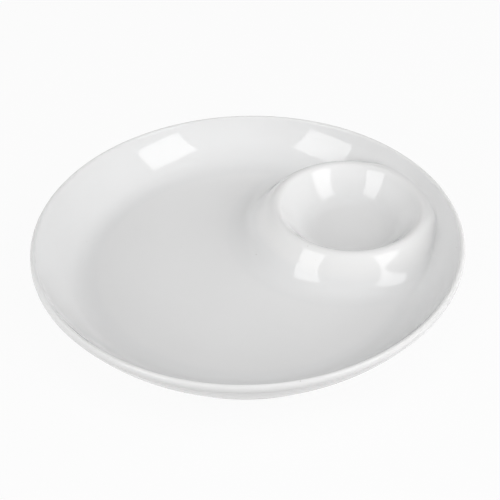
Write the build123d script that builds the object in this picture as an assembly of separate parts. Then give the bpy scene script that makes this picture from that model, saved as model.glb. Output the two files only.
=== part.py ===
from build123d import *
import math
import os

# Chip and dip server: a round porcelain plate with a raised dip cup standing inside its rim.
# Millimetres, +Z up. The plate's axis is Z and the foot ring rests on z = 0.
# The dip cup's axis crosses the X axis at cup_offset, so XZ is the mirror plane.

# Plate
rim_radius = 127.0        # outermost radius, on the lip
plate_height = 33.5       # table to the top of the lip
lip_radius = 1.9          # rounding of the lip, half the lip's thickness
floor_height = 8.0        # table to the inside floor
floor_thickness = 5.0
bend_radius = 18.0        # inside bend from the floor to the wall
bend_slope = 43.0         # wall slope in degrees where that bend ends
rim_slope = 61.0          # inside wall slope in degrees under the lip
outer_slope = 61.0        # outside wall slope in degrees under the lip
shoulder_step = 1.1       # step from the foot ring's outside to the start of the outer wall

# Foot ring
foot_radius = 104.4       # outside
foot_width = 4.9
foot_rounding = 1.0       # both bearing edges

# Dip cup and the collar that carries it
cup_offset = 71.1         # plate axis to cup axis
crest_radius = 46.0       # radius of the ring's highest line, about the cup axis
crest_height = 26.0
crest_inner_rounding = 5.0
crest_outer_rounding = 5.6
cup_floor_height = 7.0    # table to the inside of the cup, a little under the plate's floor
cup_slope = 51.0          # inside wall of the cup, degrees
cup_bend_radius = 14.0    # inside bend from the cup's floor to its wall
cup_wall = 5.0
collar_slope = 50.0       # outside slope of the ring, degrees
cove_radius = 18.0        # hollow sweep at the collar's base
cove_end_slope = 25.0     # slope left where the sweep reaches the floor
valley_radius = 2.5       # rolled into the crease between collar and plate
collar_wall = 5.0

# Hollow under the ring, open to the table
hollow_rounding = 3.0     # top of the hollow
hollow_margin = 3.5       # foot ring's inside to the hollow at the underside
hollow_draft = 8.0        # lean of the hollow's end wall, degrees

foot_height = floor_height - floor_thickness
shoulder_radius = foot_radius + shoulder_step
cup_axis = Axis((cup_offset, 0, 0), (0, 0, 1))


def sin(degrees):
    return math.sin(math.radians(degrees))


def cos(degrees):
    return math.cos(math.radians(degrees))


def tan(degrees):
    return math.tan(math.radians(degrees))


def on_plate(point):
    # A point of a profile about the plate's axis, drawn on the side away from the cup.
    return (-point[0], 0, point[1])


def on_cup(point):
    # A point of a profile about the cup's axis.
    return (cup_offset - point[0], 0, point[1])


def rising(start, radius, first_slope, slope):
    # Point on an arc that leaves start at first_slope and steepens upwards.
    run = radius * (sin(slope) - sin(first_slope))
    climb = radius * (cos(first_slope) - cos(slope))
    return (start[0] + run, start[1] + climb)


def chain(place, points):
    # Straight edges through the points in turn.
    placed = [place(point) for point in points]
    return [Line(first, second) for first, second in zip(placed, placed[1:])]


def arc(place, first, middle, last):
    return ThreePointArc(place(first), place(middle), place(last))


# Plate profile: floor, bend, wall, lip, outer wall and underside.
lip_centre = (rim_radius - lip_radius, plate_height - lip_radius)
lip_inside = (lip_centre[0] - lip_radius * sin(rim_slope), lip_centre[1] + lip_radius * cos(rim_slope))
lip_outside = (lip_centre[0] + lip_radius * sin(outer_slope), lip_centre[1] - lip_radius * cos(outer_slope))
lip_turn = (rim_slope + outer_slope) / 2
lip_middle = (lip_centre[0] + lip_radius * cos(lip_turn), lip_centre[1] + lip_radius * sin(lip_turn))
bend_rise = bend_radius * (1 - cos(bend_slope))
wall_rise = lip_inside[1] - floor_height - bend_rise
wall_radius = wall_rise / (cos(bend_slope) - cos(rim_slope))
wall_run = wall_radius * (sin(rim_slope) - sin(bend_slope))
floor_radius = lip_inside[0] - wall_run - bend_radius * sin(bend_slope)
floor_edge = (floor_radius, floor_height)
bend_middle = rising(floor_edge, bend_radius, 0, bend_slope / 2)
bend_end = rising(floor_edge, bend_radius, 0, bend_slope)
wall_middle = rising(bend_end, wall_radius, bend_slope, (bend_slope + rim_slope) / 2)

# The outer wall is one arc from the shoulder to the lip, tangent to the lip.
shoulder = (shoulder_radius, foot_height)
chord_run = lip_outside[0] - shoulder[0]
chord_rise = lip_outside[1] - shoulder[1]
chord_slope = math.degrees(math.atan2(chord_rise, chord_run))
shoulder_slope = 2 * chord_slope - outer_slope
outer_radius = math.hypot(chord_run, chord_rise) / (2 * sin((outer_slope - shoulder_slope) / 2))
outer_middle = rising(shoulder, outer_radius, shoulder_slope, chord_slope)

outside = [
    arc(on_plate, lip_inside, lip_middle, lip_outside),
    arc(on_plate, lip_outside, outer_middle, shoulder),
]
inside = chain(on_plate, [(0, floor_height), floor_edge])
inside.append(arc(on_plate, floor_edge, bend_middle, bend_end))
inside.append(arc(on_plate, bend_end, wall_middle, lip_inside))
plate_bottom = chain(on_plate, [shoulder, (0, foot_height), (0, floor_height)])
shell = revolve(make_face(inside + outside + plate_bottom), axis=Axis.Z)

# The same outside filled to the lip, which holds the collar within the outer wall.
filled_bottom = chain(on_plate, [shoulder, (0, foot_height), (0, lip_inside[1]), lip_inside])
filled = revolve(make_face(outside + filled_bottom), axis=Axis.Z)

# Collar profile about the cup axis: crest, slope and the sweep at the base, in one smooth curve.
crest = (crest_radius, crest_height)


def on_crest(rounding, slope):
    # Fall of a crest rounding from its top to a slope, as run and drop.
    return rounding * sin(slope), rounding * (1 - cos(slope))


collar_run, collar_drop = on_crest(crest_outer_rounding, collar_slope)
collar_half_run, collar_half_drop = on_crest(crest_outer_rounding, collar_slope / 2)
slope_top = (crest_radius + collar_run, crest_height - collar_drop)
sweep_low = floor_height - cove_radius * (1 - cos(cove_end_slope))
sweep_top_height = sweep_low + cove_radius * (1 - cos(collar_slope))
sweep_top_radius = slope_top[0] + (slope_top[1] - sweep_top_height) / tan(collar_slope)


def on_sweep(slope):
    run = cove_radius * (sin(collar_slope) - sin(slope))
    return (sweep_top_radius + run, sweep_low + cove_radius * (1 - cos(slope)))


sweep_end = on_sweep(0)
collar_points = [
    crest,
    (crest_radius + collar_half_run, crest_height - collar_half_drop),
    slope_top,
    ((slope_top[0] + sweep_top_radius) / 2, (slope_top[1] + sweep_top_height) / 2),
    (sweep_top_radius, sweep_top_height),
    on_sweep((collar_slope + cove_end_slope) / 2),
    on_sweep(cove_end_slope),
    sweep_end,
]
collar_curve = Spline(*[on_cup(point) for point in collar_points], tangents=[(-1, 0, 0), (-1, 0, 0)])
buried_height = (foot_height + sweep_low) / 2
collar_rest = chain(
    on_cup,
    [sweep_end, (sweep_end[0], buried_height), (0, buried_height), (0, crest_height), crest],
)
collar = revolve(make_face([collar_curve] + collar_rest), axis=cup_axis) & filled
body = shell + collar


def is_valley(edge):
    # The crease runs round the collar on the inside of the plate, off the mirror plane's seam.
    middle = edge @ 0.5
    box = edge.bounding_box()
    from_cup = math.hypot(middle.X - cup_offset, middle.Y)
    if edge.geom_type == GeomType.CIRCLE or box.size.Y < lip_radius:
        return False
    return crest_radius < from_cup < sweep_end[0] and box.min.Z > floor_height - lip_radius


body = fillet(body.edges().filter_by(is_valley), valley_radius)

# Cup profile about the cup axis: inside from the crest to the floor, then its outside.
inner_run, inner_drop = on_crest(crest_inner_rounding, cup_slope)
inner_half_run, inner_half_drop = on_crest(crest_inner_rounding, cup_slope / 2)
cup_top = (crest_radius - inner_run, crest_height - inner_drop)
cup_top_middle = (crest_radius - inner_half_run, crest_height - inner_half_drop)
cup_bend_top = cup_floor_height + cup_bend_radius * (1 - cos(cup_slope))
cup_bend_end = (cup_top[0] - (cup_top[1] - cup_bend_top) / tan(cup_slope), cup_bend_top)
cup_floor_edge = (cup_bend_end[0] - cup_bend_radius * sin(cup_slope), cup_floor_height)
cup_bend_middle = rising(cup_floor_edge, cup_bend_radius, 0, cup_slope / 2)
cup_base_edge = (cup_floor_edge[0], cup_floor_height - cup_wall)
cup_outer_bend = cup_bend_radius + cup_wall
cup_back_middle = rising(cup_base_edge, cup_outer_bend, 0, cup_slope / 2)
cup_back_end = rising(cup_base_edge, cup_outer_bend, 0, cup_slope)
seam_foot = (crest_radius, cup_back_end[1] + (crest_radius - cup_back_end[0]) * tan(cup_slope))

cup_back = [
    arc(on_cup, cup_base_edge, cup_back_middle, cup_back_end),
    *chain(on_cup, [cup_back_end, seam_foot, crest]),
]
bowl = [
    arc(on_cup, crest, cup_top_middle, cup_top),
    *chain(on_cup, [cup_top, cup_bend_end]),
    arc(on_cup, cup_bend_end, cup_bend_middle, cup_floor_edge),
]
cup_middle = chain(on_cup, [cup_floor_edge, (0, cup_floor_height), (0, cup_base_edge[1]), cup_base_edge])
dip_cup = revolve(make_face(cup_back + bowl + cup_middle), axis=cup_axis)

# Everything inside the seam belongs to the cup, so it is taken out of the body.
above = plate_height
socket_middle = chain(on_cup, [crest, (crest_radius, above), (0, above), (0, cup_base_edge[1]), cup_base_edge])
socket = revolve(make_face(cup_back + socket_middle), axis=cup_axis)
body = body - socket

# Hollow under the ring: one side follows the collar, the other the back of the cup.
collar_side = (slope_top[0] - collar_wall * sin(collar_slope), slope_top[1] - collar_wall * cos(collar_slope))
side_sum = tan(collar_slope) + tan(cup_slope)
apex_gap = collar_side[1] - cup_back_end[1] + collar_side[0] * tan(collar_slope) + cup_back_end[0] * tan(cup_slope)
apex_radius = apex_gap / side_sum
apex_height = collar_side[1] - (apex_radius - collar_side[0]) * tan(collar_slope)
apex = (apex_radius, apex_height)
mouth_radius = apex_radius + apex_height / tan(collar_slope)
hollow_edges = [
    *chain(on_cup, [cup_back_end, apex, (mouth_radius, 0), (cup_base_edge[0], 0), cup_base_edge]),
    arc(on_cup, cup_base_edge, cup_back_middle, cup_back_end),
]
hollow_face = fillet(
    make_face(hollow_edges).vertices().sort_by(Axis.Z)[-1],
    hollow_rounding,
)
hollow = revolve(hollow_face, axis=cup_axis)
limit_radius = foot_radius - foot_width - hollow_margin
limit_top = limit_radius - (crest_height - foot_height) * tan(hollow_draft)
limit_low = limit_radius + foot_height * tan(hollow_draft)
limit = revolve(
    make_face(chain(on_plate, [(0, 0), (limit_low, 0), (limit_top, crest_height), (0, crest_height), (0, 0)])),
    axis=Axis.Z,
)
hollow = hollow & limit
plate = body - hollow
dip_cup = dip_cup - hollow

# Foot ring: a band under the floor with both bearing edges rounded.
foot_inside = foot_radius - foot_width
foot_face = make_face(
    chain(
        on_plate,
        [(foot_inside, 0), (foot_radius, 0), (foot_radius, foot_height), (foot_inside, foot_height), (foot_inside, 0)],
    )
)
foot_face = fillet(foot_face.vertices().group_by(Axis.Z)[0], foot_rounding)
foot_ring = revolve(foot_face, axis=Axis.Z)

os.makedirs("parts", exist_ok=True)
export_step(plate, "parts/plate.step")
export_step(dip_cup, "parts/dip_cup.step")
export_step(foot_ring, "parts/foot_ring.step")
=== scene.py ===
import bmesh
import bpy
import math
import numpy as np
from mathutils import Matrix, Vector


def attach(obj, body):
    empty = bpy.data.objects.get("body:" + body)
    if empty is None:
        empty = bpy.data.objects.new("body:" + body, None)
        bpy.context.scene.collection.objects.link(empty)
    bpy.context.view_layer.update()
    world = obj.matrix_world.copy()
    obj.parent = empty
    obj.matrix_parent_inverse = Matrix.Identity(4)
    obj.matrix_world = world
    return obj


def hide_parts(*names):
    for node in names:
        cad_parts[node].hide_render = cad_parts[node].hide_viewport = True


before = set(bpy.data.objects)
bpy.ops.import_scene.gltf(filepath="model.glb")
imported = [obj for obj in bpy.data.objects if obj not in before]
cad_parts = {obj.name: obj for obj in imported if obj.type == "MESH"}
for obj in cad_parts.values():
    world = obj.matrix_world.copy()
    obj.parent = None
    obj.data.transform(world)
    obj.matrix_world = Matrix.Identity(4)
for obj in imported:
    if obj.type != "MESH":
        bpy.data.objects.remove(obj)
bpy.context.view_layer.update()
print("frame loaded with", ", ".join(sorted(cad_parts)))

mm = 0.001
rad = math.radians
tiny = 1e-9     # keeps a division by a zero length harmless

# Layout shared by the pieces, in millimetres and degrees.
layout = {
    "cupOffset": 71.1,      # plate axis to cup axis, along +X
    "crestRadius": 46.0,    # top line of the ring, about the cup axis
    "crestHeight": 26.0,
    "floorHeight": 8.0,
    "footHeight": 3.0,
    "cupSlope": 51.0,       # inside and back of the cup
    "cupWall": 5.0,
    "seamDrop": 0.03,       # first step down the seam between cup and plate
}

# Grids and meshes, in columns, rows, metres and degrees.
meshing = {
    "columns": 288,         # round every piece
    "easeSteps": 7,         # samples across an eased bend
    "easeSpan": 0.9,        # share of the span that they cover
    "upperPart": 6,         # row count // this is a row on the upper side of a glazed piece
    "mergeWithin": 2e-6,
    "sliverWithin": 1e-7,
    "sharpFrom": 38.0,      # angle between faces
}


def turns():
    # Column angles round an axis, counted from +X.
    return np.linspace(0.0, 2.0 * np.pi, meshing["columns"], endpoint=False)


def clustered(count, pull):
    # Steps from 0 to 1 that crowd towards both ends: t minus pull * sin(2 pi t) / 2 pi.
    t = np.linspace(0.0, 1.0, count)
    return t - pull * np.sin(2.0 * np.pi * t) / (2.0 * np.pi)


def smoothStep(t):
    # From 0 to 1 with a level start and end: 3 t^2 - 2 t^3.
    return t**2 * (3.0 - 2.0 * t)


def smoothMax(a, b, width):
    # The larger of two heights, raised by width / 6 * near^3.
    # near is 1 where they are equal and 0 where they are width or more apart.
    near = np.maximum(width - np.abs(a - b), 0.0) / width
    return np.maximum(a, b) + width / 6.0 * near**3


def softened(height, r, reach):
    # Weighted mean of a height over a span of radius, most at the middle, so that no bend starts abruptly.
    steps = np.linspace(-meshing["easeSpan"], meshing["easeSpan"], meshing["easeSteps"])
    weights = (1.0 - np.abs(steps)) / (1.0 - np.abs(steps)).sum()
    return sum(weight * height(r + step * reach) for step, weight in zip(steps, weights))


def carried(profile, bearings, axisX):
    # A profile of radius and height carried round an upright axis at x = axisX, at those bearings.
    r = profile[:, 0][:, None]
    z = np.repeat(profile[:, 1][:, None], bearings.size, axis=1)
    return np.stack([axisX + r * np.cos(bearings), r * np.sin(bearings), z], axis=-1)


def arcPoints(centre, radius, height, fromDeg, toDeg, count):
    # Points on an ellipse of that half width and half height, from one angle to another in degrees.
    t = np.radians(np.linspace(fromDeg, toDeg, count))
    return np.c_[centre[0] + radius * np.cos(t), centre[1] + height * np.sin(t)]


def hollowness(rows, reach, closed):
    # How far each point lies below the mean of its neighbours, along its normal, in millimetres:
    # above zero in hollows, where glaze pools, and below zero on ridges, where it thins.
    if closed:
        before, after = rows[-reach:], rows[:reach]
    else:
        before, after = np.repeat(rows[:1], reach, 0), np.repeat(rows[-1:], reach, 0)
    padded = np.concatenate([before, rows, after])
    up, down = padded[2 * reach:], padded[:-2 * reach]
    left, right = np.roll(rows, reach, axis=1), np.roll(rows, -reach, axis=1)
    normal = np.cross(right - left, up - down)
    normal /= np.maximum(np.linalg.norm(normal, axis=-1, keepdims=True), tiny)
    if normal[rows.shape[0] // meshing["upperPart"], 0, 2] < 0.0:
        normal = -normal
    return (((up + down + left + right) / 4.0 - rows) * normal).sum(axis=-1)


def gridPiece(name, rows, closed, glazeDepth):
    # Quads between neighbouring rows, joined right round. A closed piece joins its last row to its first;
    # an open one gets a fan to a middle point at each end. Turned over if its volume comes out negative.
    rowCount, columns = rows.shape[:2]
    points = rows.reshape(-1, 3) * mm
    depth = glazeDepth.reshape(-1)
    r = np.arange(rowCount if closed else rowCount - 1)[:, None] * columns
    rNext = (r + columns) % (rowCount * columns)
    c = np.arange(columns)
    cNext = (c + 1) % columns
    quads = np.stack([r + c, r + cNext, rNext + cNext, rNext + c], axis=-1).reshape(-1, 4)
    fans = np.zeros((0, 3), dtype=int)
    if not closed:
        last = (rowCount - 1) * columns
        firstMiddle = np.full(columns, len(points))
        lastMiddle = firstMiddle + 1
        points = np.vstack([points, points[:columns].mean(0), points[last:].mean(0)])
        depth = np.r_[depth, depth[:columns].mean(), depth[last:].mean()]
        fans = np.vstack([np.c_[cNext, c, firstMiddle], np.c_[last + c, last + cNext, lastMiddle]])
    first, second, third, fourth = (points[quads[:, corner]] for corner in range(4))
    volume = (np.cross(first, second) * third).sum() + (np.cross(first, third) * fourth).sum()
    if volume < 0.0:
        quads, fans = quads[:, ::-1], fans[:, ::-1]
    mesh = bpy.data.meshes.new(name)
    mesh.from_pydata(points.tolist(), [], quads.tolist() + fans.tolist())
    pool = mesh.attributes.new("glazeDepth", "FLOAT", "POINT")
    pool.data.foreach_set("value", depth.astype(np.float32))
    cleaned = bmesh.new()
    cleaned.from_mesh(mesh)
    bmesh.ops.remove_doubles(cleaned, verts=cleaned.verts, dist=meshing["mergeWithin"])
    bmesh.ops.dissolve_degenerate(cleaned, edges=cleaned.edges, dist=meshing["sliverWithin"])
    cleaned.to_mesh(mesh)
    cleaned.free()
    mesh.polygons.foreach_set("use_smooth", np.ones(len(mesh.polygons), dtype=bool))
    mesh.set_sharp_from_angle(angle=rad(meshing["sharpFrom"]))
    piece = bpy.data.objects.new(name, mesh)
    bpy.context.scene.collection.objects.link(piece)
    print(name, "has", len(mesh.vertices), "points and", len(mesh.polygons), "faces")
    return piece


# Cup: floor, bend, straight wall and a rounded turn at the crest.
# Its back is the same shape one wall further out.
cup = {
    "floorHeight": 7.0,
    "bendRadius": 14.0,     # inside, floor to wall
    "crestRounding": 5.0,
    "softness": 5.0,        # span over which the bends are eased
    "middleRadius": 0.4,    # innermost row of points
    "crestGap": 0.03,       # between the last row of the bowl and the crest
    "bowlRows": 90,
    "bowlCrowding": 0.8,    # below 1, rows crowd towards the crest
    "backRows": 16,
    "baseRows": 5,
    "poolReach": 3,         # rows and columns over which pooling is judged
}


def cupHeight(rc):
    # Inside of the cup about its axis: flat floor, bend, straight slope and the rounded crest.
    s = rad(layout["cupSlope"])
    bend, k = cup["bendRadius"], cup["crestRounding"]
    d = np.clip(rc - cupFloorRadius, 0.0, bend * math.sin(s))
    inBend = bend - np.sqrt(bend**2 - d**2)
    onSlope = np.clip(rc - cupBendR, 0.0, cupTopR - cupBendR) * math.tan(s)
    over = np.clip(layout["crestRadius"] - rc, 0.0, k * math.sin(s))
    onCrest = np.sqrt(k**2 - over**2) - k * math.cos(s)
    return cup["floorHeight"] + inBend + onSlope + onCrest


def cupBackHeight(rc):
    # Back of the cup: flat base, bend, then a straight slope.
    s = rad(layout["cupSlope"])
    bend = cup["bendRadius"] + layout["cupWall"]
    d = np.clip(rc - cupFloorRadius, 0.0, bend * math.sin(s))
    inBend = bend - np.sqrt(np.maximum(bend**2 - d**2, 0.0))
    onSlope = np.maximum(rc - cupFloorRadius - bend * math.sin(s), 0.0) * math.tan(s)
    return cupBaseZ + inBend + onSlope


def cupRows():
    # Profile from the middle of the bowl out to the crest, down the seam and back under to the middle.
    crestR, crestZ, middleR = layout["crestRadius"], layout["crestHeight"], cup["middleRadius"]
    t = np.linspace(0.0, 1.0, cup["bowlRows"])**cup["bowlCrowding"]
    bowlR = middleR + (crestR - cup["crestGap"] - middleR) * t
    bowl = np.c_[bowlR, softened(cupHeight, bowlR, np.minimum(cup["softness"], crestR - bowlR))]
    seam = np.array([[crestR, crestZ], [crestR, crestZ - layout["seamDrop"]]])
    backR = np.linspace(crestR, cupFloorRadius, cup["backRows"])
    back = np.c_[backR, cupBackHeight(backR)]
    baseR = np.linspace(cupFloorRadius, middleR, cup["baseRows"] + 1)[1:]
    base = np.c_[baseR, np.full(baseR.size, cupBaseZ)]
    return carried(np.vstack([bowl, seam, back, base]), turns(), layout["cupOffset"])


# Radii and heights where the parts of the cup's profile meet.
cupTopR = layout["crestRadius"] - cup["crestRounding"] * math.sin(rad(layout["cupSlope"]))
cupTopZ = layout["crestHeight"] - cup["crestRounding"] * (1.0 - math.cos(rad(layout["cupSlope"])))
cupBendZ = cup["floorHeight"] + cup["bendRadius"] * (1.0 - math.cos(rad(layout["cupSlope"])))
cupBendR = cupTopR - (cupTopZ - cupBendZ) / math.tan(rad(layout["cupSlope"]))
cupFloorRadius = cupBendR - cup["bendRadius"] * math.sin(rad(layout["cupSlope"]))
cupBaseZ = cup["floorHeight"] - layout["cupWall"]
cupGrid = cupRows()
cupPiece = gridPiece("dipCup", cupGrid, False, hollowness(cupGrid, cup["poolReach"], False))


# Plate: floor, wall, lip and outer wall round the plate's axis.
# The collar of the ring is blended into floor and wall.
plate = {
    "rimRadius": 127.0,
    "height": 33.5,
    "lipRadius": 1.9,
    "lipDrop": 2.7,         # half height of the lip's outer side
    "bendRadius": 18.0,     # inside, floor to wall
    "bendSlope": 43.0,
    "rimSlope": 61.0,       # inside, under the lip
    "outerSlope": 61.0,     # outside, under the lip
    "softness": 4.0,        # span over which the bend is eased
    "shoulderRadius": 105.5,
    "crestRounding": 5.6,   # outside of the crest
    "mergeRounding": 16.0,  # the same where the rim is nearest
    "mergeFrom": 17.0,      # crest height over the wall at which it starts to broaden
    "upperSlope": 45.5,     # where that rounding ends
    "bulgeRadius": 82.0,    # from there to the steepest part
    "collarSlope": 51.0,
    "floorBlend": 13.0,     # height over which collar and floor run together
    "wallBlend": 3.0,       # the same in the crease between collar and wall
    "blendRise": 7.0,       # climb of the wall over which one turns into the other
    "collarWall": 5.0,
    "hollowSlope": 50.0,    # side of the hollow under the collar
    "hollowLimit": 96.0,    # radius of the hollow's end wall at the underside
    "hollowDraft": 8.0,
    "ceilingRise": 2.0,     # most that the hollow's top stands above its height at the seam
    "seamStep": 0.0004,     # share of the way to the lip at the row beside the seam
    "topRows": 110,
    "topCrowding": 0.8,     # how strongly they crowd towards crest and lip
    "lipRows": 8,
    "outerRows": 24,
    "underRows": 14,
    "endWallRows": 5,
    "endWallHalvings": 24,  # steps in the search for the end wall's top
    "ceilingRows": 12,
    "poolReach": 4,         # rows and columns over which pooling is judged
}


def plateHeight(r):
    # Inside of the plate: flat floor, an arc up to the bend slope, a wider arc up to the lip.
    d = np.clip(r - plateFloorRadius, 0.0, bendEndR - plateFloorRadius)
    bend = plate["bendRadius"] - np.sqrt(np.maximum(plate["bendRadius"]**2 - d**2, 0.0))
    w = np.clip(r, bendEndR, lipInR) - wallCentreR
    wall = wallCentreZ - np.sqrt(np.maximum(wallRadius**2 - w**2, 0.0)) - bendEndZ
    return layout["floorHeight"] + bend + wall


def collarHeight(rc, k):
    # Outside of the ring about the cup axis: a crest of rounding k down to the upper slope, a wide arc that
    # steepens to the collar slope, then straight.
    w = plate["bulgeRadius"]
    u, s = rad(plate["upperSlope"]), rad(plate["collarSlope"])
    d = rc - layout["crestRadius"]
    bulgeSpan = w * (math.sin(s) - math.sin(u))
    onCrest = np.clip(d, 0.0, k * math.sin(u))
    onBulge = np.clip(d - k * math.sin(u), 0.0, bulgeSpan)
    straight = np.maximum(d - k * math.sin(u) - bulgeSpan, 0.0)
    crest = layout["crestHeight"] - k + np.sqrt(k**2 - onCrest**2)
    bulge = np.sqrt(w**2 - (w * math.sin(u) + onBulge)**2) - w * math.cos(u)
    return crest + bulge - straight * math.tan(s)


def crestHeightOverWall(a):
    # How far the ring's top line stands above the plate's inside, by direction from the cup axis.
    x = layout["cupOffset"] + layout["crestRadius"] * np.cos(a)
    return layout["crestHeight"] - plateHeight(np.hypot(x, layout["crestRadius"] * np.sin(a)))


def toCircle(a, radius):
    # Distance from the cup axis, in direction a, to a circle about the plate's axis.
    b = layout["cupOffset"] * np.cos(a)
    return -b + np.sqrt(b**2 - layout["cupOffset"]**2 + radius**2)


def fromCup(rc, a, z):
    # Points at a distance and direction from the cup axis.
    x = layout["cupOffset"] + rc * np.cos(a)
    y = rc * np.sin(a)
    return np.stack(np.broadcast_arrays(x, y, z), axis=-1)


def hollowTop():
    # Radius and height where the collar's inside leaves the rounding of the crest, about the cup axis.
    s, k = rad(plate["hollowSlope"]), plate["crestRounding"]
    inset = k - plate["collarWall"]
    return layout["crestRadius"] + inset * math.sin(s), layout["crestHeight"] - k + inset * math.cos(s)


def ceilingHeight(rc):
    # Top of the hollow under the ring: the lower of the collar's inside, a straight slope,
    # and the cup's back.
    topR, topZ = hollowTop()
    return np.minimum(topZ - (rc - topR) * math.tan(rad(plate["hollowSlope"])), cupBackHeight(rc))


def mouthRadii():
    # Where the cup's back and the collar's inside reach the underside, about the cup axis.
    bend = cup["bendRadius"] + layout["cupWall"]
    sunk = layout["footHeight"] - cupBaseZ
    topR, topZ = hollowTop()
    inner = cupFloorRadius + math.sqrt(bend**2 - (bend - sunk)**2)
    return inner, topR + (topZ - layout["footHeight"]) / math.tan(rad(plate["hollowSlope"]))


def upperSide(a):
    # From the crest of the ring to the inside of the lip: the higher of collar and plate, run together.
    crestR = layout["crestRadius"]
    v = np.r_[0.0, plate["seamStep"], clustered(plate["topRows"], plate["topCrowding"])[1:]][:, None]
    rc = crestR + (toCircle(a, lipInR) - crestR) * v
    top = fromCup(rc, a, 0.0)
    r = np.hypot(top[..., 0], top[..., 1])
    plateZ = softened(plateHeight, r, np.clip(lipInR - r, 0.0, plate["softness"]))
    climb = np.clip((plateZ - layout["floorHeight"]) / plate["blendRise"], 0.0, 1.0)
    blend = plate["floorBlend"] + (plate["wallBlend"] - plate["floorBlend"]) * smoothStep(climb)
    # the crest broadens where the rim comes near, so that the ring runs into the wall there
    stand = crestHeightOverWall(a)
    near = np.clip((plate["mergeFrom"] - stand) / (plate["mergeFrom"] - stand.min()), 0.0, 1.0)
    rounding = plate["crestRounding"] + (plate["mergeRounding"] - plate["crestRounding"]) * smoothStep(near)
    top[..., 2] = smoothMax(collarHeight(rc, rounding), plateZ, blend)
    return top


def lipAndWall(bearings):
    # A circle over the lip's inside, an ellipse over its outside, then one arc down to the shoulder.
    half, drop = plate["lipRadius"], plate["lipDrop"]
    lipIn = arcPoints((lipR, lipZ), half, half, 90.0 + plate["rimSlope"], 90.0, plate["lipRows"])
    lipOut = arcPoints((lipR, plate["height"] - drop), half, drop, 90.0, -lipEnd, 2 * plate["lipRows"])
    slopes = np.radians(np.linspace(plate["outerSlope"], shoulderSlope, plate["outerRows"]))
    outer = np.c_[
        lipOutR + outerRadius * (np.sin(slopes) - math.sin(rad(plate["outerSlope"]))),
        lipOutZ - outerRadius * (np.cos(slopes) - math.cos(rad(plate["outerSlope"]))),
    ]
    return carried(np.vstack([lipIn[1:], lipOut[1:], outer[1:]]), bearings, 0.0)


def underside(a, shoulder):
    # Flat from the shoulder to the hollow, up its end wall, along its ceiling, up the seam.
    crestR, footZ, limit = layout["crestRadius"], layout["footHeight"], plate["hollowLimit"]
    lean = math.tan(rad(plate["hollowDraft"]))
    low = np.full(a.size, footZ)
    high = np.full(a.size, layout["crestHeight"])
    for halving in range(plate["endWallHalvings"]):
        middle = (low + high) / 2.0
        under = ceilingHeight(toCircle(a, limit - (middle - footZ) * lean)) > middle
        low, high = np.where(under, middle, low), np.where(under, high, middle)
    limitR = toCircle(a, limit)
    startR = np.clip(limitR, *mouthRadii())
    hitR = np.where(startR == limitR, toCircle(a, limit - (low - footZ) * lean), startR)
    start = fromCup(startR, a, footZ)
    t = 1.0 - np.linspace(1.0, 0.0, plate["underRows"])[1:, None, None]**2
    flat = shoulder * (1.0 - t) + start * t
    t = np.linspace(0.0, 1.0, plate["endWallRows"])[1:, None, None]
    endWall = start * (1.0 - t) + fromCup(hitR, a, low) * t
    t = np.linspace(0.0, 1.0, plate["ceilingRows"])[1:, None]
    ceilingR = hitR * (1.0 - t) + crestR * t
    highest = ceilingHeight(np.array([crestR]))[0] + plate["ceilingRise"]
    ceiling = fromCup(ceilingR, a, np.minimum(ceilingHeight(ceilingR), highest))
    seam = fromCup(np.full((1, a.size), crestR), a, layout["crestHeight"] - layout["seamDrop"])
    return np.concatenate([flat, endWall, ceiling, seam])


def plateRows():
    # Once round the section: upper side, lip and outer wall, underside. Columns start on the cup axis,
    # and from the lip outwards each keeps its bearing from the plate's axis.
    a = turns()
    top = upperSide(a)
    side = lipAndWall(np.arctan2(top[-1, :, 1], top[-1, :, 0]))
    return np.concatenate([top, side, underside(a, side[-1])])


# Radii, heights and slopes where the parts of the plate's profile meet.
lipR, lipZ = plate["rimRadius"] - plate["lipRadius"], plate["height"] - plate["lipRadius"]
lipInR = lipR - plate["lipRadius"] * math.sin(rad(plate["rimSlope"]))
lipInZ = lipZ + plate["lipRadius"] * math.cos(rad(plate["rimSlope"]))
bendEndZ = layout["floorHeight"] + plate["bendRadius"] * (1.0 - math.cos(rad(plate["bendSlope"])))
wallRadius = (lipInZ - bendEndZ) / (math.cos(rad(plate["bendSlope"])) - math.cos(rad(plate["rimSlope"])))
bendEndR = lipInR - wallRadius * (math.sin(rad(plate["rimSlope"])) - math.sin(rad(plate["bendSlope"])))
plateFloorRadius = bendEndR - plate["bendRadius"] * math.sin(rad(plate["bendSlope"]))
wallCentreR = bendEndR - wallRadius * math.sin(rad(plate["bendSlope"]))
wallCentreZ = bendEndZ + wallRadius * math.cos(rad(plate["bendSlope"]))
lipEnd = math.degrees(math.atan2(plate["lipDrop"], plate["lipRadius"] * math.tan(rad(plate["outerSlope"]))))
lipOutR = lipR + plate["lipRadius"] * math.cos(rad(lipEnd))
lipOutZ = plate["height"] - plate["lipDrop"] * (1.0 + math.sin(rad(lipEnd)))
chord = (lipOutR - plate["shoulderRadius"], lipOutZ - layout["footHeight"])
shoulderSlope = 2.0 * math.degrees(math.atan2(chord[1], chord[0])) - plate["outerSlope"]
outerRadius = math.hypot(*chord) / (2.0 * math.sin(rad(plate["outerSlope"] - shoulderSlope) / 2.0))
plateGrid = plateRows()
platePiece = gridPiece("plateBody", plateGrid, True, hollowness(plateGrid, plate["poolReach"], True))


# Foot ring: a low band with both bearing edges rounded.
foot = {
    "outside": 104.4,
    "width": 4.9,
    "rounding": 1.0,
    "edgeRows": 8,
    "sideRows": 3,          # up each side and across the bearing face
}


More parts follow.
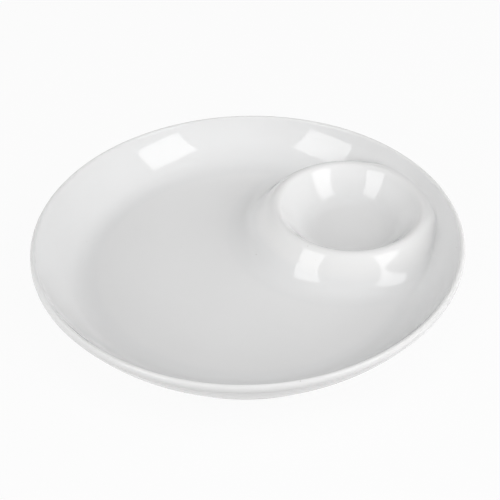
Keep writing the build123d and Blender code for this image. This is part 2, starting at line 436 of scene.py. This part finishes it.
def footRows():
    # Profile once round the band: outside, bearing edge, bearing face, bearing edge, inside, top.
    outside, k, count = foot["outside"], foot["rounding"], foot["sideRows"]
    inner, top = outside - foot["width"], layout["footHeight"]
    outerSide = np.c_[np.full(count, outside), np.linspace(top, k, count + 1)[:-1]]
    outerEdge = arcPoints((outside - k, k), k, k, 0.0, -90.0, foot["edgeRows"])
    bearing = np.c_[np.linspace(outside - k, inner + k, count + 2)[1:-1], np.zeros(count)]
    innerEdge = arcPoints((inner + k, k), k, k, -90.0, -180.0, foot["edgeRows"])
    innerSide = np.c_[np.full(count, inner), np.linspace(k, top, count + 1)[1:]]
    return carried(np.vstack([outerSide, outerEdge, bearing, innerEdge, innerSide]), turns(), 0.0)


footGrid = footRows()
footPiece = gridPiece("footRing", footGrid, True, np.zeros(footGrid.shape[:2]))

for piece, node, slotName in (
    (platePiece, "plate", "glaze"),
    (cupPiece, "dip_cup", "cup_glaze"),
    (footPiece, "foot_ring", "bare_foot"),
):
    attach(piece, "root")
    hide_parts(node)
print("pieces placed on the frame")


# Glaze effect: pooled and thin tints, faint cloudiness, pinholes, gloss variation and a slow ripple.
glaze = {
    "body": (0.80, 0.80, 0.799, 1.0),
    "pooled": (0.785, 0.787, 0.788, 1.0),   # cooler where glaze lies thick
    "thin": (0.811, 0.810, 0.807, 1.0),     # warmer where it draws thin over an edge
    "poolRange": 0.10,                      # millimetres of hollowness from plain to pooled or thin
    "cloudScale": 22.0,
    "cloudDetail": 4.0,
    "cloudDepth": 0.018,
    "pinhole": (0.46, 0.44, 0.41, 1.0),
    "pinholeScale": 420.0,
    "pinholeRarity": 0.996,                 # share of cells without one
    "pinholeEdge": (0.05, 0.16),            # from full to none, in cells from its middle
    "rippleScale": 34.0,
    "rippleDetail": 1.0,
    "rippleHeight": 0.00005,                # metres
    "peelScale": 420.0,                     # fine unevenness
    "peelDetail": 2.0,
    "peelShare": 0.012,                     # of the ripple's height
    "gloss": (0.02, 0.045),                 # roughness, least and most
    "ior": 1.52,
}
unitRange = (0.0, 1.0)


def addNode(tree, kind, x, y, **values):
    node = tree.nodes.new(kind)
    node.location = (x, y)
    for key, value in values.items():
        setattr(node, key, value)
    return node


def feed(tree, socket, value):
    # Another node's output is linked to the socket, a plain value is set on it.
    if isinstance(value, bpy.types.NodeSocket):
        tree.links.new(value, socket)
    else:
        socket.default_value = value


def addNoise(tree, x, y, position, scale, detail):
    node = addNode(tree, "ShaderNodeTexNoise", x, y)
    node.inputs["Scale"].default_value = scale
    node.inputs["Detail"].default_value = detail
    tree.links.new(position, node.inputs["Vector"])
    return node.outputs["Fac"]


def addRange(tree, x, y, value, fromRange, toRange):
    # A value carried from one range to another, and held at its ends.
    node = addNode(tree, "ShaderNodeMapRange", x, y)
    for key, number in zip(("From Min", "From Max", "To Min", "To Max"), (*fromRange, *toRange)):
        node.inputs[key].default_value = number
    tree.links.new(value, node.inputs["Value"])
    return node.outputs["Result"]


def addMath(tree, x, y, operation, *values):
    node = addNode(tree, "ShaderNodeMath", x, y, operation=operation)
    for socket, value in zip(node.inputs, values):
        feed(tree, socket, value)
    return node.outputs["Value"]


def addMix(tree, x, y, kind, share, fromValue, toValue):
    node = addNode(tree, "ShaderNodeMix", x, y, data_type=kind)
    for key, value in (("Factor", share), ("A", fromValue), ("B", toValue)):
        feed(tree, node.inputs[key], value)
    return node.outputs["Result"]


def glazeGroup():
    # Colour, roughness and height of a glazed surface from its position and pooling.
    tree = bpy.data.node_groups.new("glazeSurface", "ShaderNodeTree")
    for name, way, kind in (
        ("Position", "INPUT", "NodeSocketVector"),
        ("Depth", "INPUT", "NodeSocketFloat"),
        ("Body", "INPUT", "NodeSocketColor"),
        ("Pooled", "INPUT", "NodeSocketColor"),
        ("Thin", "INPUT", "NodeSocketColor"),
        ("Color", "OUTPUT", "NodeSocketColor"),
        ("Roughness", "OUTPUT", "NodeSocketFloat"),
        ("Height", "OUTPUT", "NodeSocketFloat"),
    ):
        tree.interface.new_socket(name, in_out=way, socket_type=kind)
    link = tree.links.new
    entry = addNode(tree, "NodeGroupInput", -900, 0).outputs
    leave = addNode(tree, "NodeGroupOutput", 900, 0).inputs
    # pooled and thin tints
    pool = addRange(tree, -600, 200, entry["Depth"], (0.0, glaze["poolRange"]), unitRange)
    thin = addRange(tree, -600, -50, entry["Depth"], (0.0, -glaze["poolRange"]), unitRange)
    pooled = addMix(tree, -300, 200, "RGBA", pool, entry["Body"], entry["Pooled"])
    thinned = addMix(tree, -100, 150, "RGBA", thin, pooled, entry["Thin"])
    # cloudiness in the body under the glaze
    cloud = addNoise(tree, -600, -300, entry["Position"], glaze["cloudScale"], glaze["cloudDetail"])
    shades = (1.0 - glaze["cloudDepth"], 1.0 + glaze["cloudDepth"])
    shade = addRange(tree, -300, -300, cloud, unitRange, shades)
    clouded = addNode(tree, "ShaderNodeVectorMath", 120, 100, operation="SCALE")
    link(thinned, clouded.inputs["Vector"])
    link(shade, clouded.inputs["Scale"])
    # pinholes: rare small dark dots
    cells = addNode(tree, "ShaderNodeTexVoronoi", -600, -600)
    cells.inputs["Scale"].default_value = glaze["pinholeScale"]
    link(entry["Position"], cells.inputs["Vector"])
    draw = addNode(tree, "ShaderNodeSeparateColor", -400, -700)
    link(cells.outputs["Color"], draw.inputs["Color"])
    chosen = addMath(tree, -200, -700, "GREATER_THAN", draw.outputs["Red"], glaze["pinholeRarity"])
    spot = addRange(tree, -200, -550, cells.outputs["Distance"], glaze["pinholeEdge"], (1.0, 0.0))
    hole = addMath(tree, 20, -600, "MULTIPLY", chosen, spot)
    link(addMix(tree, 400, 100, "RGBA", hole, clouded.outputs["Vector"], glaze["pinhole"]), leave["Color"])
    # gloss varies a little, and ripple plus fine peel less the pinholes give the height
    ripple = addNoise(tree, -600, -950, entry["Position"], glaze["rippleScale"], glaze["rippleDetail"])
    peel = addNoise(tree, -600, -1200, entry["Position"], glaze["peelScale"], glaze["peelDetail"])
    link(addRange(tree, -200, -950, peel, unitRange, glaze["gloss"]), leave["Roughness"])
    fine = addMath(tree, -200, -1200, "MULTIPLY", peel, glaze["peelShare"])
    both = addMath(tree, 20, -1100, "ADD", ripple, fine)
    link(addMath(tree, 220, -1000, "SUBTRACT", both, hole), leave["Height"])
    return tree


def startMaterial(name):
    # A new material with its shader, object position and glaze effect ready to use.
    material = bpy.data.materials.new(name)
    material.use_nodes = True
    tree = material.node_tree
    shader = tree.nodes["Principled BSDF"]
    shader.inputs["IOR"].default_value = glaze["ior"]
    position = addNode(tree, "ShaderNodeTexCoord", -1100, 0).outputs["Object"]
    depth = addNode(tree, "ShaderNodeAttribute", -1100, -300, attribute_name="glazeDepth")
    look = addNode(tree, "ShaderNodeGroup", -700, 0, node_tree=glazeSurface)
    for key in ("Body", "Pooled", "Thin"):
        look.inputs[key].default_value = glaze[key.lower()]
    tree.links.new(position, look.inputs["Position"])
    tree.links.new(depth.outputs["Fac"], look.inputs["Depth"])
    return material, shader, look, position


def addBump(tree, x, y, height, distance, shader):
    # Relief of a height map, in metres, on the shader's normal.
    bump = addNode(tree, "ShaderNodeBump", x, y)
    bump.inputs["Distance"].default_value = distance
    tree.links.new(height, bump.inputs["Height"])
    tree.links.new(bump.outputs["Normal"], shader.inputs["Normal"])


def glazedMaterial(name):
    material, shader, look, _ = startMaterial(name)
    tree = material.node_tree
    tree.links.new(look.outputs["Color"], shader.inputs["Base Color"])
    tree.links.new(look.outputs["Roughness"], shader.inputs["Roughness"])
    addBump(tree, -350, -300, look.outputs["Height"], glaze["rippleHeight"], shader)
    return material


# Foot finish: glazed sides, bare ground clay on the bearing face with fine turning lines and scuffs.
bareFoot = {
    "clay": (0.74, 0.725, 0.70, 1.0),
    "scuffed": (0.60, 0.59, 0.575, 1.0),
    "glazeEdge": (0.0006, 0.0004),      # metres above the table, from glazed to bare
    "edgeWander": 0.0008,               # metres that the edge wanders up
    "edgeScale": 60.0,
    "edgeDetail": 2.0,
    "grainScale": 1500.0,
    "grainDetail": 3.0,
    "scuffScale": 90.0,
    "scuffDetail": 6.0,
    "scuffRange": (0.52, 0.72),         # of the noise, from clean to scuffed
    "roughness": (0.52, 0.77),
    "lineScale": 1700.0,
    "lineWander": 1.5,
    "lineHeight": 0.00003,              # metres
}


def footMaterial(name):
    material, shader, look, position = startMaterial(name)
    tree = material.node_tree
    link = tree.links.new
    # the glaze stops a little above the table, on an edge that wanders
    split = addNode(tree, "ShaderNodeSeparateXYZ", -900, -600)
    link(position, split.inputs["Vector"])
    wander = addNoise(tree, -900, -800, position, bareFoot["edgeScale"], bareFoot["edgeDetail"])
    shifted = addMath(tree, -700, -700, "MULTIPLY_ADD", wander, -bareFoot["edgeWander"], split.outputs["Z"])
    bare = addRange(tree, -500, -650, shifted, bareFoot["glazeEdge"], unitRange)
    # clay, scuffed in places
    scuff = addNoise(tree, -900, -1300, position, bareFoot["scuffScale"], bareFoot["scuffDetail"])
    worn = addRange(tree, -650, -1300, scuff, bareFoot["scuffRange"], unitRange)
    clay = addMix(tree, -400, -1200, "RGBA", worn, bareFoot["clay"], bareFoot["scuffed"])
    link(addMix(tree, -250, 100, "RGBA", bare, look.outputs["Color"], clay), shader.inputs["Base Color"])
    grain = addNoise(tree, -900, -1050, position, bareFoot["grainScale"], bareFoot["grainDetail"])
    dull = addRange(tree, -650, -1050, grain, unitRange, bareFoot["roughness"])
    rough = addMix(tree, -250, -150, "FLOAT", bare, look.outputs["Roughness"], dull)
    link(rough, shader.inputs["Roughness"])
    # turning lines run round the axis: a wave on the distance from it
    ring = addNode(tree, "ShaderNodeTexWave", -650, -1550, wave_type="RINGS", rings_direction="Z")
    ring.inputs["Scale"].default_value = bareFoot["lineScale"]
    ring.inputs["Distortion"].default_value = bareFoot["lineWander"]
    link(position, ring.inputs["Vector"])
    lines = addMath(tree, -400, -1500, "MULTIPLY", ring.outputs["Fac"], bare)
    relief = addMath(tree, -250, -1400, "MULTIPLY_ADD", grain, bare, lines)
    addBump(tree, -100, -500, relief, bareFoot["lineHeight"], shader)
    return material


glazeSurface = glazeGroup()
platePiece.data.materials.append(glazedMaterial("whiteGlaze"))
cupPiece.data.materials.append(glazedMaterial("cupGlaze"))
footPiece.data.materials.append(footMaterial("bareFootClay"))
print("glaze and bare clay finished")


# Camera: bearing and height of the photograph, with its slight roll.
camera = {
    "bearing": -26.8,       # degrees, 0 looks along +Y
    "elevation": 40.55,
    "distance": 0.635,
    "roll": -1.43,
    "sensor": 36.0,
    "lens": 74.95,
    "shift": (0.0038, 0.0462),
    "nearest": 0.01,        # where the view begins
}


def around(bearing, elevation, distance):
    # A point at that bearing and height about the origin, in front of it for bearing 0.
    b, e = rad(bearing), rad(elevation)
    return Vector((math.sin(b) * math.cos(e), -math.cos(b) * math.cos(e), math.sin(e))) * distance


def setCamera():
    data = bpy.data.cameras.new("camera")
    data.sensor_width = camera["sensor"]
    data.lens = camera["lens"]
    data.shift_x, data.shift_y = camera["shift"]
    data.clip_start = camera["nearest"]
    eye = bpy.data.objects.new("camera", data)
    eye.location = around(camera["bearing"], camera["elevation"], camera["distance"])
    turn = eye.location.to_track_quat("Z", "Y").to_matrix() @ Matrix.Rotation(rad(camera["roll"]), 3, "Z")
    eye.rotation_euler = turn.to_euler()
    bpy.context.scene.collection.objects.link(eye)
    bpy.context.scene.camera = eye


setCamera()
print("camera set")


# Studio: pale floor, a white surround that only the camera and the glaze see, soft lamps.
studio = {
    "worldMirrored": 0.5,   # white of the surround in reflections
    "floorHalf": 3.0,       # half its width, in metres
    "floorWhite": 0.6,
    "floorMirrored": 0.85,  # white of the floor in reflections
    "floorGlow": 0.94,      # share of plain white that the camera sees in the floor
    # name: bearing from the camera, elevation, distance, width, height, watts, shows in the glaze
    "lamps": {
        "leftBox": (-54.0, 43.0, 1.3, 0.54, 0.46, 2.3, True),
        "rightBox": (54.0, 43.0, 1.3, 0.54, 0.46, 2.3, True),
        "frontLeftFill": (-45.0, 18.0, 1.4, 1.2, 0.6, 5.3, False),
        "frontRightFill": (45.0, 18.0, 1.4, 1.2, 0.6, 5.4, False),
        "leftFill": (-85.0, 20.0, 1.4, 1.2, 0.6, 4.5, False),
        "rightFill": (85.0, 20.0, 1.4, 1.2, 0.6, 4.9, False),
        "highRightFill": (85.0, 45.0, 1.4, 1.2, 0.6, 3.9, False),
        "topFill": (0.0, 89.0, 1.3, 1.0, 1.0, 6.0, False),
    },
}


def seenWhite(tree, x, cameraShare, mirrorShare):
    # How much plain white a ray sees: one share from the camera, another in a reflection or through
    # something clear, none for light that only brightens.
    path = addNode(tree, "ShaderNodeLightPath", x, 300).outputs
    mirror = addMath(tree, x + 200, 300, "MAXIMUM", path["Is Glossy Ray"], path["Is Transmission Ray"])
    mirrored = addMath(tree, x + 400, 300, "MULTIPLY", mirror, mirrorShare)
    return addMath(tree, x + 600, 300, "MULTIPLY_ADD", path["Is Camera Ray"], cameraShare, mirrored)


def setFloor():
    half = studio["floorHalf"]
    corners = [(-half, -half, 0.0), (half, -half, 0.0), (half, half, 0.0), (-half, half, 0.0)]
    mesh = bpy.data.meshes.new("floor")
    mesh.from_pydata(corners, [], [(0, 1, 2, 3)])
    floor = bpy.data.objects.new("floor", mesh)
    bpy.context.scene.collection.objects.link(floor)
    material = bpy.data.materials.new("paleFloor")
    material.use_nodes = True
    tree = material.node_tree
    tree.nodes.clear()
    out = addNode(tree, "ShaderNodeOutputMaterial", 600, 0)
    matte = addNode(tree, "ShaderNodeBsdfDiffuse", 0, 0)
    matte.inputs["Color"].default_value = (studio["floorWhite"],) * 3 + (1.0,)
    glow = addNode(tree, "ShaderNodeEmission", 0, -200)
    mix = addNode(tree, "ShaderNodeMixShader", 300, 0)
    white = seenWhite(tree, -600, studio["floorGlow"], studio["floorMirrored"])
    tree.links.new(white, mix.inputs["Fac"])
    tree.links.new(matte.outputs["BSDF"], mix.inputs[1])
    tree.links.new(glow.outputs["Emission"], mix.inputs[2])
    tree.links.new(mix.outputs["Shader"], out.inputs["Surface"])
    mesh.materials.append(material)


def setWorld():
    world = bpy.data.worlds.new("studio")
    bpy.context.scene.world = world
    world.use_nodes = True
    tree = world.node_tree
    sky = tree.nodes["Background"]
    sky.inputs["Color"].default_value = (1.0, 1.0, 1.0, 1.0)
    tree.links.new(seenWhite(tree, -900, 1.0, studio["worldMirrored"]), sky.inputs["Strength"])


def setLamps():
    for name, (bearing, elevation, distance, width, height, watts, mirrored) in studio["lamps"].items():
        data = bpy.data.lights.new(name, "AREA")
        data.shape = "RECTANGLE"
        data.size, data.size_y, data.energy = width, height, watts
        lamp = bpy.data.objects.new(name, data)
        lamp.location = around(camera["bearing"] + bearing, elevation, distance)
        lamp.rotation_euler = lamp.location.to_track_quat("Z", "Y").to_euler()
        lamp.visible_glossy = mirrored
        bpy.context.scene.collection.objects.link(lamp)


setFloor()
setWorld()
setLamps()
bpy.context.scene.view_settings.view_transform = "Standard"
print("studio set")
